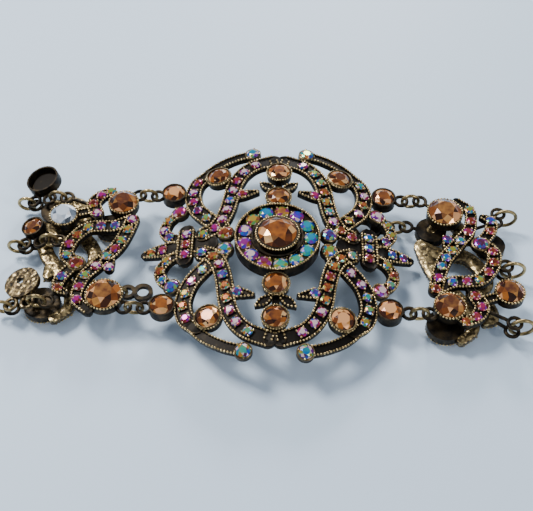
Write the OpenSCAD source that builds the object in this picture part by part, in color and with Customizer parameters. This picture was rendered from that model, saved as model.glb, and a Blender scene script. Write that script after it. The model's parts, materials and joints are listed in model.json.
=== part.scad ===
// Openwork stone-set link bracelet, lying folded with both ends tucked under.
// X runs along the bracelet, Y across it and Z up from the table it lies on.

/* [Plaque] */
// Height of the plaque's crown above the table
crown_h = 8.8; // [8.2:0.1:9.8]
// Radius of the plaque's bend round the wrist
bend_r = 59; // [56:1:80]
// Radius of the plaque's gentle bend across its width
cross_r = 180; // [140:5:300]
// Thickness of the castings
cast_t = 1.2; // [0.9:0.1:1.3]
// Width of the stone-set ribbons on the plaque
ribbon_w = 3.3; // [2.8:0.1:3.5]
// Outer radius of the medallion
medal_r = 8.1; // [7.6:0.1:8.4]
// Radius of the large stone at the centre
centre_stone_r = 3.6; // [3.2:0.1:3.8]
// Half the distance between the plaque's link cups along X
cup_x = 20.8; // [20.4:0.1:21.2]
// Half the distance between the plaque's link cups across Y
cup_y = 13.6; // [13.3:0.1:13.9]

/* [Side panels] */
// X of the left panel's centre
left_x = -34.4; // [-35:0.1:-34.2]
// X of the right panel's centre
right_x = 35.5; // [35.2:0.1:36]
// Y of the left panel's centre
left_y = 0.5; // [0:0.1:1]
// Y of the right panel's centre
right_y = -2.3; // [-2.6:0.1:-1.8]
// Height of the lower panels' upturned backs, which is how deep a panel and its stones are
panel_h = 3.0; // [2.8:0.1:3.2]
// Gap between a lower panel's back and the upper panel's back
stack_gap = 1.45; // [1.4:0.05:1.6]
// Width of the ribbons on the panels
panel_ribbon_w = 2.8; // [2.4:0.1:3]

/* [Stones] */
// Radius of the small pave stones
pave_r = 0.95; // [0.75:0.05:1]
// Radius of the accent stones
accent_r = 1.35; // [1.2:0.05:1.5]
// Radius of the plaque's round topaz stones
topaz_r = 2.1; // [1.8:0.1:2.2]
// Radius of a panel's large topaz stone
big_topaz_r = 3.2; // [2.9:0.1:3.3]
// Radius of a panel's second topaz stone
second_topaz_r = 2.7; // [2.4:0.1:2.8]
// Radius of the stone at a panel's edge
edge_stone_r = 2.5; // [2.2:0.1:2.6]
// Wall of the cups round the stones
cup_wall = 0.3; // [0.25:0.05:0.4]

/* [Rings and eyes] */
// Radius of the wire in the jump rings
ring_wire_r = 0.35; // [0.3:0.01:0.38]
// Radius of a jump ring at the middle of its wire
ring_r = 1.6; // [1.55:0.05:1.7]
// Radius of the outer right jump rings, which span the folded stack
fold_ring_r = 2.15; // [2.1:0.05:2.25]
// Radius of the metal in the cast eyes
eye_wire_r = 0.35; // [0.3:0.01:0.38]
// Radius of an eye's hole
eye_hole_r = 0.85; // [0.8:0.05:1]

/* [Clasp and tail] */
// Outer radius of the clasp's claw
claw_r = 2.5; // [2.3:0.1:2.7]
// Radius of the space inside the claw
claw_hole_r = 1.5; // [1.3:0.1:1.6]
// Thickness of the clasp
clasp_t = 1.4; // [1.2:0.1:1.6]
// Radius of the hole in the tail tag
tag_hole_r = 1.1; // [0.9:0.05:1.2]
// Thickness of the tail tag
tag_t = 0.8; // [0.6:0.1:1]

/* [Hidden] */
$fn = 24;

brass = "#6b5a35";
dark_brass = "#3a3222";
topaz = "#b06a35";
aurora = "#8a6fa8";
clear = "#e8eef2";

glue_gap = 0.02;      // between a stone and its seat, and between soldered pieces
bar_gap = 0.65;       // from a flat hinge's centre to each eye's bar
eye_r = eye_hole_r + eye_wire_r;
flat_reach = bar_gap + eye_r;   // from a flat hinge's centre to each eye's centre
back_z = panel_h + stack_gap;   // height of the upper panels' backs
upper_eye_z = back_z + cast_t / 2;
lower_eye_z = panel_h - cast_t / 2;
deep_setting = 1.7;   // height of a panel cup above the casting's back
cup_lift = 0.9;       // how far the plaque's cups stand above its face
knot_lift = 0.4;      // how far the knots stand above its face
seat_lift = 0.4;      // height of the topaz seats above its face
sink = 0.1;           // depth of the accent seats below its face
thin_w = 2.2;         // width of the plaque's plain scrolls
bow_w = 3.2;
medal_step = 1.5;     // how far the medallion reaches below the crown
medal_lip = 1.1;      // how far its rim stands above the crown

left_cup_reach = 5.1;    // from the plaque's left link cups to their hinge line
right_cup_reach = 5.4;   // the same on the right
panel_reach = 9.6;       // from a side panel's centre to the hinge line beyond it
right_panel_reach = 9.3;
link_run = 6.15;         // how far the left connectors carry the fold outwards

// Hinge lines. Each is [x, z] of the jump rings' centres.
left_in = [-cup_x - left_cup_reach, upper_eye_z];
right_in = [cup_x + right_cup_reach, upper_eye_z];
left_mid = [left_x - panel_reach, upper_eye_z];
left_out = [left_mid.x - link_run - 0.45, 2.9];
right_out = [right_x + right_panel_reach, (upper_eye_z + lower_eye_z) / 2];
centre_shift = -(left_out.x - ring_r + right_out.x + fold_ring_r) / 2;
left_in_rows = [13.4, -13.8];
right_in_rows = [13.4, -13.7];
left_rows = [12.5, 1.5, -12.8];
right_rows = [10.6, right_y, -15.3];

// A fold's bars sit this far inside the hinge's centre and this far above and below it.
left_fold = [0.45, 0.5];
right_fold = [0.35, (upper_eye_z - lower_eye_z) / 2];
lower_left_at = [-40.7, left_y];
lower_right_at = [34, right_y];

// Ribbons of one quarter of the plaque, as [x, y] points along the middle of each.
main_ribbon = [[1.2, 21.4], [4.8, 20], [7, 18], [8.3, 15.6], [9, 13], [9.4, 10.3], [9.9, 7.8],
    [10.7, 5.4], [12, 3.4], [14.2, 2.2]];
loop_ribbon = [[14.2, 18.2], [16.2, 16.4], [17, 13.7], [16.7, 11.1], [15.7, 8.6], [13.8, 6.3],
    [12, 4.4]];
rim_ribbon = [[15.4, 17.8], [12.6, 20.6], [9, 22.6], [5.6, 23.6]];
curl_ribbon = [[19.4, 9], [21.4, 7.2], [22.1, 4.9], [20.9, 2.9], [18.8, 1.8]];
branch = [[9, 11.8], [7.1, 11.8], [4.2, 12.4]];
bow = [[18.6, 0], [22.4, 0], [25.6, 0]];
knot = [[17.4, 3.2], [17.4, -3.2]];
loop_topaz = [12, 16.9];
axis_topaz = [[0, 17.4], [0, 10.4]];
rim_accent = [5.5, 23.7];
curl_accent = [19.4, 9];
inner_accent = [9.8, 1.9];
leaf = [[1, 12.8], [3, 14.4]];

// Ribbons of a side panel, drawn as the left upper panel lies.
s_ribbon = [[6, 6.2], [5.4, 3.6], [4.5, 0.9], [3.5, -1.2], [2.1, -3], [0.4, -5.4], [-1.3, -7.6],
    [-2.1, -10.3], [-2.1, -13.2], [0.2, -15.4]];
eye_ribbon = [[-3.4, -4.8], [-5.5, -2.9], [-5.4, -0.3], [-4.2, 2], [-2.3, 3.9], [0.1, 4.3],
    [2.8, 4.5], [6, 6.2]];
hook_ribbon = [[-1.1, 7.6], [-2.1, 10], [-0.9, 12.2], [1, 13.3]];
spur_ribbon = [[2.1, -3], [2.9, -5.6]];
tail_ribbon = [[-3.4, -4.8], [-5.6, -8], [-6, -10.6], [-4.4, -11.6]];
neck_ribbon = [[0.1, 4.3], [-1.1, 7.6]];
big_at = [2.85, -12.2];
second_at = [3.8, 10.2];
edge_at = [-7.5, 6.7];
panel_accent = [-3.4, -4.8];

// The plaque's face is a barrel: its radius at y, its height at [x, y], and how it leans in X.
function barrel_r(y) = bend_r - y * y / (2 * cross_r);
function dome_z(p) = crown_h - bend_r + sqrt(pow(barrel_r(p.y), 2) - p.x * p.x);
function dome_lean(p) = asin(p.x / barrel_r(p.y));
// The radius of a 16-sided hole that a round piece of radius r drops into.
function clear_of(r) = (r + glue_gap) / cos(180 / 16);
function slice(v, a, b) = [for (i = [a:b]) v[i]];

// ---- small shapes ----------------------------------------------------------

module on_dome(p, lift = 0) {
    translate([p.x, p.y, dome_z(p) + lift])
        rotate([-atan(p.y / cross_r), dome_lean(p), 0])
            children();
}

module quarters() {
    for (sx = [1, -1], sy = [1, -1])
        scale([sx, sy, 1]) children();
}

// A stone with its girdle's underside at z = 0.
module stone(r) {
    girdle = 0.12 + 0.06 * r;
    crown = 0.32 * r;
    cylinder(r = r, h = girdle);
    translate([0, 0, girdle]) cylinder(r1 = r, r2 = r * 0.56, h = crown);
}

module torus(r, wire) {
    rotate_extrude() translate([r, 0]) circle(r = wire);
}

module eye(x, y, z) {
    translate([x, y, z]) torus(eye_r, eye_wire_r);
}

module ring_row(at, rows, r) {
    for (y = rows)
        translate([at.x, y, at.y]) rotate([90, 0, 0]) torus(r, ring_wire_r);
}

module bar(a, b, r) {
    d = b - a;
    translate(a)
        rotate([0, acos(d.z / norm(d)), atan2(d.y, d.x)])
            cylinder(r = r, h = norm(d));
}

// A cup standing on z = 0 with a recess for a stone of radius r.
module cup(r, h, seat = 0.5) {
    difference() {
        cylinder(r = r + cup_wall, h = h);
        translate([0, 0, h - seat]) cylinder(r = r + glue_gap, h = seat + 1);
    }
}

// A drawn ribbon of one width, or one whose last point has a width of its own.
module flat_ribbon(points, w, end_w = 0) {
    n = len(points) - 1;
    for (i = [0:n - 1])
        hull() {
            for (k = [i, i + 1])
                translate(points[k]) circle(d = k == n && end_w > 0 ? end_w : w, $fn = 14);
        }
}

// ---- plaque ----------------------------------------------------------------

// The barrel that the plaque's face follows: bend_r round the wrist, cross_r across it.
module barrel(lift) {
    steps = 4;
    reach = 29.5;
    translate([0, 0, crown_h - bend_r])
        rotate([90, 0, 0])
            rotate_extrude($fn = 72)
                polygon([[1, -reach], [1, reach],
                    for (i = [steps:-1:-steps]) let (y = reach * i / steps)
                        [bend_r + lift - y * y / (2 * cross_r), y]]);
}

// A flat drawing raised to meet the plaque's face, or a little above it.
module raised(lift = 0) {
    intersection() {
        linear_extrude(crown_h + 4) children();
        barrel(lift);
    }
}

module plaque_quarter() {
    flat_ribbon(main_ribbon, ribbon_w);
    flat_ribbon(loop_ribbon, ribbon_w);
    flat_ribbon(rim_ribbon, thin_w);
    flat_ribbon(curl_ribbon, thin_w);
    flat_ribbon(branch, 2.4, 0.9);
    flat_ribbon([axis_topaz[0], main_ribbon[0]], 1.8);
    flat_ribbon([axis_topaz[0], axis_topaz[1]], 1.4);
    flat_ribbon([inner_accent, main_ribbon[7]], thin_w);
    flat_ribbon(leaf, 1.2, 2);
    for (p = [rim_accent, curl_accent, inner_accent])
        translate(p) circle(r = accent_r + cup_wall, $fn = 16);
}

module plaque_casting() {
    color(dark_brass)
        union() difference() {
            union() {
                raised() {
                    quarters() plaque_quarter();
                    for (side = [1, -1])
                        scale([side, 1, 1]) {
                            flat_ribbon([bow[0], bow[1]], bow_w);
                            flat_ribbon([bow[1], bow[2]], bow_w, bow_w / 2);
                            flat_ribbon([[13.2, 0], bow[0]], 4);
                        }
                }
                raised(knot_lift) for (side = [1, -1]) scale([side, 1, 1]) flat_ribbon(knot, 3.1);
                raised(cup_lift) quarters()
                    for (p = [loop_topaz, axis_topaz[0], axis_topaz[1]])
                        translate(p) circle(r = topaz_r + cup_wall, $fn = 20);
            }
            barrel(-cast_t);
            translate([0, 0, crown_h - 4]) cylinder(r = clear_of(medal_r), h = 8, $fn = 16);
            quarters() {
                for (p = [loop_topaz, axis_topaz[0], axis_topaz[1]])
                    on_dome(p, seat_lift) cylinder(r = clear_of(topaz_r), h = 2, $fn = 16);
                for (p = [rim_accent, curl_accent, inner_accent])
                    on_dome(p, -sink) cylinder(r = clear_of(accent_r), h = 2, $fn = 16);
                link_cup_shape(glue_gap);
            }
        }
}

// The solid outline of one link cup and its stalk, grown by a clearance.
module link_cup_shape(grow) {
    translate([cup_x, cup_y, upper_eye_z - 1.2 - grow])
        cylinder(r = topaz_r + cup_wall + grow, h = 2.2 + 2 * grow);
}

module plaque_link_cups() {
    color(brass)
        for (sx = [1, -1], sy = [1, -1]) {
            line = sx > 0 ? right_in : left_in;
            rows = sx > 0 ? right_in_rows : left_in_rows;
            y = sy > 0 ? rows[0] : rows[1];
            eye(line.x - sx * flat_reach, y, line.y);
            difference() {
                scale([sx, sy, 1]) link_cup_shape(0);
                translate([sx * cup_x, sy * cup_y, upper_eye_z + 0.5])
                    cylinder(r = topaz_r + glue_gap, h = 2);
            }
        }
}

module medallion() {
    color(brass)
        difference() {
            union() {
                translate([0, 0, crown_h - medal_step]) cylinder(r = medal_r, h = medal_step + medal_lip);
                translate([0, 0, crown_h - medal_step])
                    cylinder(r = centre_stone_r + cup_wall, h = medal_step + 2.1);
            }
            translate([0, 0, crown_h + 0.3]) difference() {
                cylinder(r = medal_r - 0.3, h = 3);
                translate([0, 0, -1]) cylinder(r = centre_stone_r + 1.3, h = 6);
            }
            translate([0, 0, crown_h + 0.3]) difference() {
                cylinder(r = centre_stone_r + 1, h = 3);
                translate([0, 0, -1]) cylinder(r = centre_stone_r + cup_wall, h = 6);
            }
            translate([0, 0, crown_h + 1.6]) cylinder(r = centre_stone_r + glue_gap, h = 3);
        }
}

module centre_stone() {
    color(topaz) translate([0, 0, crown_h + 1.6 + glue_gap]) stone(centre_stone_r);
}

module medallion_stones() {
    color(aurora)
        for (i = [0:12])
            rotate([0, 0, 360 / 13 * i])
                translate([centre_stone_r + 2.75, 0, crown_h + 0.3 + glue_gap])
                    stone(accent_r);
}

module plaque_topaz_stones() {
    color(topaz) {
        for (sx = [1, -1], sy = [1, -1]) {
            scale([sx, sy, 1]) on_dome(loop_topaz, seat_lift + glue_gap) stone(topaz_r);
            translate([sx * cup_x, sy * cup_y, upper_eye_z + 0.5 + glue_gap]) stone(topaz_r);
        }
        for (p = axis_topaz, sy = [1, -1])
            scale([1, sy, 1]) on_dome(p, seat_lift + glue_gap) stone(topaz_r);
    }
}

module plaque_accent_stones() {
    color(aurora)
        quarters()
            for (p = [rim_accent, curl_accent, inner_accent])
                on_dome(p, glue_gap - sink) stone(accent_r);
}

module plaque_pave_stones() {
    color(aurora) {
        quarters()
            for (p = concat(slice(main_ribbon, 1, 9), slice(loop_ribbon, 1, 5),
                    slice(curl_ribbon, 1, 3), [branch[1]]))
                on_dome(p, 2 * glue_gap) stone(pave_r);
        for (side = [1, -1])
            scale([side, 1, 1]) {
                for (y = [2.4, 0, -2.4])
                    on_dome([knot[0].x, y], knot_lift + 2 * glue_gap) stone(pave_r);
                for (x = [22, 24.2])
                    on_dome([x, 0], 2 * glue_gap) stone(pave_r);
            }
    }
}

// ---- side panels -----------------------------------------------------------
// A panel is drawn with its back on z = 0 and its stones upwards.

panel_cups = [[big_at, big_topaz_r], [second_at, second_topaz_r], [edge_at, edge_stone_r]];

module panel_outline() {
    flat_ribbon(s_ribbon, panel_ribbon_w);
    flat_ribbon(eye_ribbon, panel_ribbon_w);
    flat_ribbon(hook_ribbon, panel_ribbon_w);
    flat_ribbon(spur_ribbon, panel_ribbon_w);
    flat_ribbon(tail_ribbon, 2.4);
    flat_ribbon(neck_ribbon, 1.6);
    flat_ribbon([hook_ribbon[3], second_at], 2);
    flat_ribbon([[-1.8, 8.6], edge_at], 1.8);
    translate(panel_accent) circle(r = accent_r + 0.5, $fn = 20);
}

module panel_casting(eyes) {
    color(dark_brass)
        union() {
            difference() {
                linear_extrude(cast_t) panel_outline();
                for (c = panel_cups)
                    translate([c[0].x, c[0].y, -1])
                        cylinder(r = clear_of(c[1] + cup_wall), h = cast_t + 2, $fn = 16);
                for (e = eyes) {
                    stalk(e, glue_gap);
                    translate([e[0].x, e[0].y, -1])
                        cylinder(r = clear_of(eye_r + eye_wire_r), h = cast_t + 2, $fn = 16);
                }
            }
        }
}

// The stalk that joins an eye to the panel, from the eye's metal inwards.
module stalk(e, grow) {
    step = (e[1] - e[0]) / norm(e[1] - e[0]);
    from = e[0] + step * eye_r;
    bar([from.x, from.y, cast_t / 2], [e[1].x, e[1].y, cast_t / 2], eye_wire_r + grow);
}

// Cups, and eyes on short stalks. Each eye is [centre, where its stalk ends].
module panel_settings(eyes) {
    color(brass)
        difference() {
            union() {
                for (c = panel_cups)
                    translate(c[0]) cylinder(r = c[1] + cup_wall, h = deep_setting);
                for (e = eyes) {
                    eye(e[0].x, e[0].y, cast_t / 2);
                    stalk(e, 0);
                }
            }
            for (c = panel_cups)
                translate([c[0].x, c[0].y, deep_setting - 0.4])
                    cylinder(r = c[1] + glue_gap, h = 2);
        }
}

module panel_stone(c) {
    translate([c[0].x, c[0].y, deep_setting - 0.4 + glue_gap])
        tall_stone(c[1], panel_h - deep_setting + 0.4 - glue_gap);
}

// A stone whose table stands at a given height, so a flipped panel rests level on its tables.
module tall_stone(r, h) {
    cylinder(r = r, h = h * 0.4);
    translate([0, 0, h * 0.4]) cylinder(r1 = r, r2 = r * 0.56, h = h * 0.6);
}

module panel_pave() {
    color(aurora) {
        for (p = concat(slice(s_ribbon, 0, 8), slice(eye_ribbon, 1, 6), slice(hook_ribbon, 0, 3),
                [spur_ribbon[1]], slice(tail_ribbon, 1, 2)))
            translate([p.x, p.y, cast_t + glue_gap]) stone(pave_r);
        translate([panel_accent.x, panel_accent.y, cast_t + glue_gap]) stone(accent_r);
    }
}

// Where each panel lies: upright, turned half round, or flipped over onto its stones.
module at_left() translate([left_x, left_y, back_z]) children();
module at_right() translate([right_x, right_y, back_z]) rotate([0, 0, 180]) children();
module at_lower_left()
    translate([lower_left_at.x, lower_left_at.y, panel_h]) rotate([0, 180, 0]) children();
module at_lower_right()
    translate([lower_right_at.x, lower_right_at.y, panel_h]) rotate([0, 180, 0]) children();

// Eyes in each panel's own frame, from the hinge lines' places.
left_eyes = [
    [[left_in.x - flat_reach - left_x, left_in_rows[0] - left_y], second_at],
    [[left_in.x - flat_reach - left_x, left_in_rows[1] - left_y], big_at],
    [[left_mid.x + flat_reach - left_x, left_rows[0] - left_y], hook_ribbon[1]],
    [[left_mid.x + flat_reach - left_x, left_rows[1] - left_y], eye_ribbon[2]],
    [[left_mid.x + flat_reach - left_x, left_rows[2] - left_y], tail_ribbon[2]]];
fold_eye_x = right_out.x - right_fold[0] - eye_r;
right_eyes = [
    [[right_x - right_in.x - flat_reach, right_y - right_in_rows[0]], big_at],
    [[right_x - right_in.x - flat_reach, right_y - right_in_rows[1]], second_at],
    [[right_x - fold_eye_x, right_y - right_rows[0]], tail_ribbon[2]],
    [[right_x - fold_eye_x, right_y - right_rows[1]], eye_ribbon[2]],
    [[right_x - fold_eye_x, right_y - right_rows[2]], hook_ribbon[1]]];
lower_left_eye_x = left_out.x + left_fold[0] + eye_r;
tail_eye = [-31.6, -8.5];
lower_left_eyes = [
    [[lower_left_at.x - lower_left_eye_x, left_rows[0] - lower_left_at.y], second_at],
    [[lower_left_at.x - lower_left_eye_x, left_rows[1] - lower_left_at.y], s_ribbon[2]],
    [[lower_left_at.x - lower_left_eye_x, left_rows[2] - lower_left_at.y], big_at],
    [[lower_left_at.x - tail_eye.x, tail_eye.y - lower_left_at.y], tail_ribbon[2]]];
clasp_eye = [25.4, 9];
lower_right_eyes = [
    [[lower_right_at.x - fold_eye_x, right_rows[0] - lower_right_at.y], hook_ribbon[1]],
    [[lower_right_at.x - fold_eye_x, right_rows[1] - lower_right_at.y], eye_ribbon[2]],
    [[lower_right_at.x - fold_eye_x, right_rows[2] - lower_right_at.y], tail_ribbon[2]],
    [[lower_right_at.x - clasp_eye.x, clasp_eye.y - lower_right_at.y], second_at]];

module left_panel_casting() at_left() panel_casting(left_eyes);
module left_panel_settings() at_left() panel_settings(left_eyes);
module left_panel_topaz() color(topaz) at_left()
    for (i = [0, 1]) panel_stone(panel_cups[i]);
module left_panel_clear_stone() color(clear) at_left() panel_stone(panel_cups[2]);
module left_panel_pave() at_left() panel_pave();

module right_panel_casting() at_right() panel_casting(right_eyes);
module right_panel_settings() at_right() panel_settings(right_eyes);
module right_panel_topaz() color(topaz) at_right() for (c = panel_cups) panel_stone(c);
module right_panel_pave() at_right() panel_pave();

module lower_left_casting() at_lower_left() panel_casting(lower_left_eyes);
module lower_left_settings() at_lower_left() panel_settings(lower_left_eyes);
module lower_left_topaz() color(topaz) at_lower_left() for (c = panel_cups) panel_stone(c);
module lower_left_pave() at_lower_left() panel_pave();

module lower_right_casting() at_lower_right() panel_casting(lower_right_eyes);
module lower_right_settings() at_lower_right() panel_settings(lower_right_eyes);
module lower_right_topaz() color(topaz) at_lower_right() for (c = panel_cups) panel_stone(c);
module lower_right_pave() at_lower_right() panel_pave();

// ---- jump rings ------------------------------------------------------------

module left_inner_rings() color(brass) ring_row(left_in, left_in_rows, ring_r);
module left_middle_rings() color(brass) ring_row(left_mid, left_rows, ring_r);
module left_outer_rings() color(brass) ring_row(left_out, left_rows, ring_r);
module right_inner_rings() color(brass) ring_row(right_in, right_in_rows, ring_r);
module right_outer_rings() color(brass) ring_row(right_out, right_rows, fold_ring_r);

// ---- left connectors -------------------------------------------------------
// Each is drawn from the middle hinge outwards along +X, then turned to slope down to the left.

link_drop = left_mid.y - (left_out.y + left_fold[1]);
link_slope = atan(link_drop / link_run);
link_far = norm([link_run, link_drop]) - eye_r;
link_mid = (flat_reach + link_far) / 2;

module at_link(row)
    translate([left_mid.x, left_rows[row], left_mid.y])
        rotate([0, -link_slope, 0]) rotate([0, 0, 180]) scale([1, -1, 1]) children();

module link_eyes() {
    eye(flat_reach, 0, 0);
    eye(link_far, 0, 0);
}

top_link_r = 3.35;
low_link_r = 3.4;
small_stone_r = 1.95;

module link_arms(y, r) {
    for (x = [flat_reach, link_far])
        bar([x, eye_r, 0], [x + (link_mid - x) * 0.4, y - r * 0.8, 0], eye_wire_r);
}

module left_top_link() {
    y = top_link_r + eye_hole_r + 0.15;
    color(brass) at_link(0) {
        link_eyes();
        difference() {
            union() {
                link_arms(y, top_link_r);
                translate([link_mid, y, -0.3]) cylinder(r = top_link_r, h = 2);
            }
            translate([link_mid, y, 0.1]) cylinder(r = top_link_r - 0.35, h = 3);
        }
    }
}

module left_top_link_stone() {
    y = top_link_r + eye_hole_r + 0.15;
    color(topaz) at_link(0) translate([link_mid, y, 0.1 + glue_gap]) cylinder(r = 2.4, h = 0.3);
}

module left_middle_link() {
    y = small_stone_r + cup_wall + eye_hole_r + 0.1;
    color(brass) at_link(1) {
        link_eyes();
        link_arms(y, small_stone_r);
        translate([link_mid, y, -0.3]) cup(small_stone_r, 1.7, 0.6);
    }
}

module left_middle_link_stone() {
    y = small_stone_r + cup_wall + eye_hole_r + 0.1;
    color(topaz) at_link(1) translate([link_mid, y, 0.8 + glue_gap]) stone(small_stone_r);
}

module left_low_link() {
    y = low_link_r + eye_hole_r + 0.15;
    color(brass) at_link(2) {
        link_eyes();
        difference() {
            union() {
                link_arms(y, low_link_r);
                translate([link_mid, y, -0.3]) cylinder(r = low_link_r, h = 1);
            }
            translate([link_mid + 0.4, y + 0.4, -1]) cylinder(r = 0.7, h = 3);
        }
    }
}

// ---- clasp and tail --------------------------------------------------------

tail_hinge = [tail_eye.x + flat_reach, tail_eye.y, lower_eye_z];
tag_step = eye_hole_r + tag_hole_r + 0.9;

module tail_ring() {
    color(brass) translate(tail_hinge) rotate([90, 0, 0]) torus(ring_r, ring_wire_r);
}

module tail_tag() {
    color(brass)
        translate([tail_hinge.x + flat_reach, tail_hinge.y, tail_hinge.z - tag_t / 2])
            difference() {
                union() {
                    cylinder(r = eye_hole_r + 0.7, h = tag_t);
                    translate([tag_step, 0, 0]) cylinder(r = tag_hole_r + 0.8, h = tag_t);
                }
                translate([0, 0, -1]) cylinder(r = eye_hole_r, h = tag_t + 2);
                translate([tag_step, 0, -1]) cylinder(r = tag_hole_r, h = tag_t + 2);
            }
}

clasp_drop = 0.55;    // how far the clasp's middle lies below its ring's centre
clasp_hinge = [clasp_eye.x - flat_reach, clasp_eye.y, lower_eye_z - 0.3];
clasp_eye_t = 0.8;    // thickness of the clasp round its ring's hole
clasp_neck = 4.7;     // from the claw's centre to the hole for its ring
claw_at = [clasp_hinge.x - flat_reach - clasp_neck, clasp_hinge.y, clasp_hinge.z - clasp_drop];
gate_pivot = [2.35, -0.5];
gate_t = 0.8;
gate_reach = 3.35;    // from the lever's pin to its tip, and the arc the tip swings on
pin_r = 0.3;

module sector(r, a, b) {
    polygon([[0, 0], for (i = [0:6]) let (t = a + (b - a) * i / 6) [r * cos(t), r * sin(t)]]);
}

module clasp_ring() {
    color(brass) translate(clasp_hinge) rotate([90, 0, 0]) torus(ring_r, ring_wire_r);
}

module clasp_body() {
    color(brass) translate([claw_at.x, claw_at.y, claw_at.z - clasp_t / 2])
        difference() {
            union() {
                cylinder(r = claw_r, h = clasp_t);
                translate([gate_pivot.x, gate_pivot.y, 0]) cylinder(r = 1.1, h = clasp_t);
                translate([1.5, -0.9, 0]) cube([clasp_neck - 1.9, 1.8, clasp_t]);
                translate([clasp_neck, 0, clasp_t - clasp_eye_t])
                    cylinder(r = eye_hole_r + 0.7, h = clasp_eye_t);
            }
            translate([0, 0, -1]) cylinder(r = claw_hole_r, h = clasp_t + 2);
            translate([clasp_neck, 0, -1]) cylinder(r = eye_hole_r, h = clasp_t + 2);
            translate([0, 0, -1]) intersection() {
                linear_extrude(clasp_t + 2) sector(6, -150, -48);
                translate([gate_pivot.x, gate_pivot.y, 0])
                    cylinder(r = gate_reach + 0.1, h = clasp_t + 2);
            }
            translate([0, 0, (clasp_t - gate_t) / 2 - 0.1])
                linear_extrude(gate_t + 0.2) sector(6, -60, -12);
            translate([gate_pivot.x, gate_pivot.y, (clasp_t - gate_t) / 2 - 0.1])
                cylinder(r = 1.15, h = gate_t + 0.2);
            translate([gate_pivot.x, gate_pivot.y, -1]) cylinder(r = pin_r + 0.02, h = clasp_t + 2);
        }
}

module clasp_lever() {
    color(brass) translate([claw_at.x, claw_at.y, claw_at.z - gate_t / 2])
        difference() {
            union() {
                translate([gate_pivot.x, gate_pivot.y, 0]) cylinder(r = 0.9, h = gate_t);
                intersection() {
                    difference() {
                        cylinder(r = claw_r - 0.05, h = gate_t);
                        translate([0, 0, -1]) cylinder(r = claw_hole_r + 0.1, h = gate_t + 2);
                    }
                    translate([0, 0, -1]) linear_extrude(gate_t + 2) sector(6, -140, -18);
                    translate([gate_pivot.x, gate_pivot.y, 0]) cylinder(r = gate_reach, h = gate_t);
                }
            }
            translate([gate_pivot.x, gate_pivot.y, -1]) cylinder(r = pin_r + 0.05, h = gate_t + 2);
        }
}

module clasp_pin() {
    color(brass)
        translate([claw_at.x + gate_pivot.x, claw_at.y + gate_pivot.y, claw_at.z - clasp_t / 2])
            cylinder(r = pin_r, h = clasp_t);
}

// ---- the assembly ----------------------------------------------------------

// Puts the middle of the whole bracelet at X = 0.
module placed() translate([centre_shift, 0, 0]) children();

placed() plaque_casting();
placed() plaque_link_cups();
placed() medallion();
placed() centre_stone();
placed() medallion_stones();
placed() plaque_topaz_stones();
placed() plaque_accent_stones();
placed() plaque_pave_stones();
placed() left_inner_rings();
placed() left_panel_casting();
placed() left_panel_settings();
placed() left_panel_topaz();
placed() left_panel_clear_stone();
placed() left_panel_pave();
placed() left_middle_rings();
placed() left_top_link();
placed() left_middle_link();
placed() left_low_link();
placed() left_top_link_stone();
placed() left_middle_link_stone();
placed() left_outer_rings();
placed() lower_left_casting();
placed() lower_left_settings();
placed() lower_left_topaz();
placed() lower_left_pave();
placed() tail_ring();
placed() tail_tag();
placed() right_inner_rings();
placed() right_panel_casting();
placed() right_panel_settings();
placed() right_panel_topaz();
placed() right_panel_pave();
placed() right_outer_rings();
placed() lower_right_casting();
placed() lower_right_settings();
placed() lower_right_topaz();
placed() lower_right_pave();
placed() clasp_ring();
placed() clasp_body();
placed() clasp_lever();
placed() clasp_pin();
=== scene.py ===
"""Openwork rhinestone link bracelet, lying folded with both ends tucked under.

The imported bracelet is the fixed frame. The castings' scrolls, their beaded edges and every
crystal are built here around it. Sizes in the classes are millimetres unless a name says so.
"""

from __future__ import annotations

import json
import logging
import math
import random
from collections.abc import Callable, Iterable
from dataclasses import dataclass, field
from enum import Enum

import bmesh
import bpy
import numpy as np
from mathutils import Matrix, Vector

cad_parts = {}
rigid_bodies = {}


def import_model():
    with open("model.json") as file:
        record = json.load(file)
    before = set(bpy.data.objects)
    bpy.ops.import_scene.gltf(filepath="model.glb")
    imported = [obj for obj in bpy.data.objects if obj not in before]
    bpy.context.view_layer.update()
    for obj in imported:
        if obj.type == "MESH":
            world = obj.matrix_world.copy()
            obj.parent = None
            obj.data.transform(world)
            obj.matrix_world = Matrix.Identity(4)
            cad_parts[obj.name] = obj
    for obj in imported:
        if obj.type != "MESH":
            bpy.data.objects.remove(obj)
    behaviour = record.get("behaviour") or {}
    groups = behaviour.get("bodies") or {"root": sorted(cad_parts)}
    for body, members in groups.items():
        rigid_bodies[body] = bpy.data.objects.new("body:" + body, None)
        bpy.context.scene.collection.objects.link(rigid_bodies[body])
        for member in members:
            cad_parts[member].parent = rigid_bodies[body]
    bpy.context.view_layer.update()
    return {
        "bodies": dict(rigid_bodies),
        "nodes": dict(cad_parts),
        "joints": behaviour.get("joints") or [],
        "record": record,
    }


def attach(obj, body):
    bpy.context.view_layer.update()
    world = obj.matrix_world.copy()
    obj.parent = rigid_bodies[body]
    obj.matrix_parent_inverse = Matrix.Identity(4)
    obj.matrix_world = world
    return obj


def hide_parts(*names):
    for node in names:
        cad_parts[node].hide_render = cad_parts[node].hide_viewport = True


LOG = logging.getLogger("bracelet")
MM = 0.001
SHIFT = 2.625  # moves the middle of the folded bracelet to X = 0, in millimetres
Point = tuple[float, float]
Point3 = tuple[float, float, float]
Colour = tuple[float, float, float, float]
Place = Callable[[np.ndarray], np.ndarray]


class Face(Enum):
    """Which side of a casting looks up."""

    STONES = "stones"
    BACK = "back"


class Attr(str, Enum):
    """Names of the mesh attributes that the finishes read."""

    WEAR = "wear"
    FACET = "facet"
    TINT = "tint"
    TURN = "turn"
    SIZE = "size"


# ---- node trees ------------------------------------------------------------


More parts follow.
